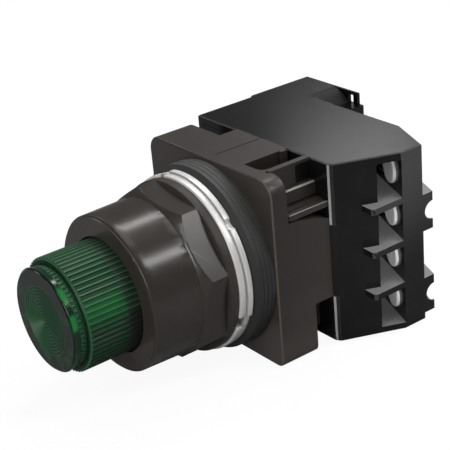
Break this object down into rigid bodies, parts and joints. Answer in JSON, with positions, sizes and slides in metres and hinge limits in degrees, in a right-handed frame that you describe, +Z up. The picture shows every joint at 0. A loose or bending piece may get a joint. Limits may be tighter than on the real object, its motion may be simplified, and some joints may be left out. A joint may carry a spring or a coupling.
{
  "type": "illuminated push button",
  "caption": "Panel push button with a lit green lens, retaining nut, square operator housing and a side-wired contact block",
  "frame": {"origin": "on the button's axis, in the plane of the flange's front face, where the gasket sits", "axes": "+Y along the button's travel, from the lens to the rear of the contact block; +Z up; +X to the side that carries the terminals"},
  "size_m": [0.0524, 0.0926, 0.0433],
  "materials": {
    "lens_green": "glossy translucent green moulding",
    "diffuser_white": "translucent white",
    "lamp_glass": "clear",
    "white_insulator": "matt off white",
    "brown_plastic": "glossy dark brown moulding",
    "black_plastic": "satin black moulding",
    "black_rubber": "matt",
    "bright_steel": "zinc plated, bright",
    "spring_steel": "drawn wire",
    "core_steel": "varnished laminations",
    "contact_brass": "bright brass",
    "winding": "enamelled copper wire"
  },
  "bodies": {
    "operator": {"lamp_glass": "lamp_glass", "lamp_base": "bright_steel", "lamp_socket": "white_insulator", "socket_contact": "contact_brass", "return_spring": "spring_steel", "wiper_seal": "black_rubber", "retaining_nut": "brown_plastic", "thrust_washer": "bright_steel", "locating_ring": "bright_steel", "gasket": "black_rubber", "operator_housing": "brown_plastic", "latch_pin": "spring_steel", "latch_spring": "spring_steel", "block_housing": "black_plastic", "block_cover": "black_plastic", "cover_screws": "bright_steel", "carrier_spring": "spring_steel", "transformer_core": "core_steel", "transformer_coil": "winding", "supply_plates": "bright_steel", "supply_screws": "bright_steel", "terminal_strip_1": "contact_brass", "clamp_disc_1": "bright_steel", "terminal_screw_1": "bright_steel", "terminal_strip_2": "contact_brass", "clamp_disc_2": "bright_steel", "terminal_screw_2": "bright_steel", "terminal_strip_3": "contact_brass", "clamp_disc_3": "bright_steel", "terminal_screw_3": "bright_steel", "terminal_strip_4": "contact_brass", "clamp_disc_4": "bright_steel", "terminal_screw_4": "bright_steel"},
    "button": {"lens": "lens_green", "diffuser": "diffuser_white", "plunger_sleeve": "black_plastic", "stop_ring": "bright_steel"},
    "carrier": {"contact_carrier": "white_insulator", "spring_no": "spring_steel", "spring_nc": "spring_steel"},
    "make_bridge": {"bridge_no": "contact_brass"},
    "break_bridge": {"bridge_nc": "contact_brass"},
    "latch": {"latch_lever": "brown_plastic"}
  },
  "joints": [
    {"name": "button_press", "type": "slide", "parent": "operator", "child": "button", "axis": [0, 1, 0], "range_m": [0, 0.005], "stiffness_N_per_m": 600, "springref_m": -0.005, "deforming": ["return_spring"]},
    {"name": "carrier_slide", "type": "slide", "parent": "operator", "child": "carrier", "axis": [0, 1, 0], "range_m": [0, 0.005], "stiffness_N_per_m": 200, "springref_m": -0.004, "deforming": ["carrier_spring"]},
    {"name": "make_bridge_slide", "type": "slide", "parent": "carrier", "child": "make_bridge", "axis": [0, 1, 0], "range_m": [-0.003, 0], "stiffness_N_per_m": 100, "springref_m": 0.003, "deforming": ["spring_no"]},
    {"name": "break_bridge_slide", "type": "slide", "parent": "carrier", "child": "break_bridge", "axis": [0, 1, 0], "range_m": [-0.002, 0], "stiffness_N_per_m": 100, "springref_m": -0.004, "deforming": ["spring_nc"]},
    {"name": "latch_swing", "type": "hinge", "parent": "operator", "child": "latch", "pos_m": [0.0155, 0.00495, 0.01285], "axis": [-1, 0, 0], "range_deg": [0, 10], "stiffness_Nm_per_rad": 0.02, "springref_deg": -11.46, "deforming": ["latch_spring"]}
  ],
  "couplings": [
    {"joint": "carrier_slide", "follows": "button_press", "ratio": 1},
    {"joint": "make_bridge_slide", "follows": "button_press", "ratio": -0.6},
    {"joint": "break_bridge_slide", "follows": "button_press", "ratio": -0.4}
  ]
}
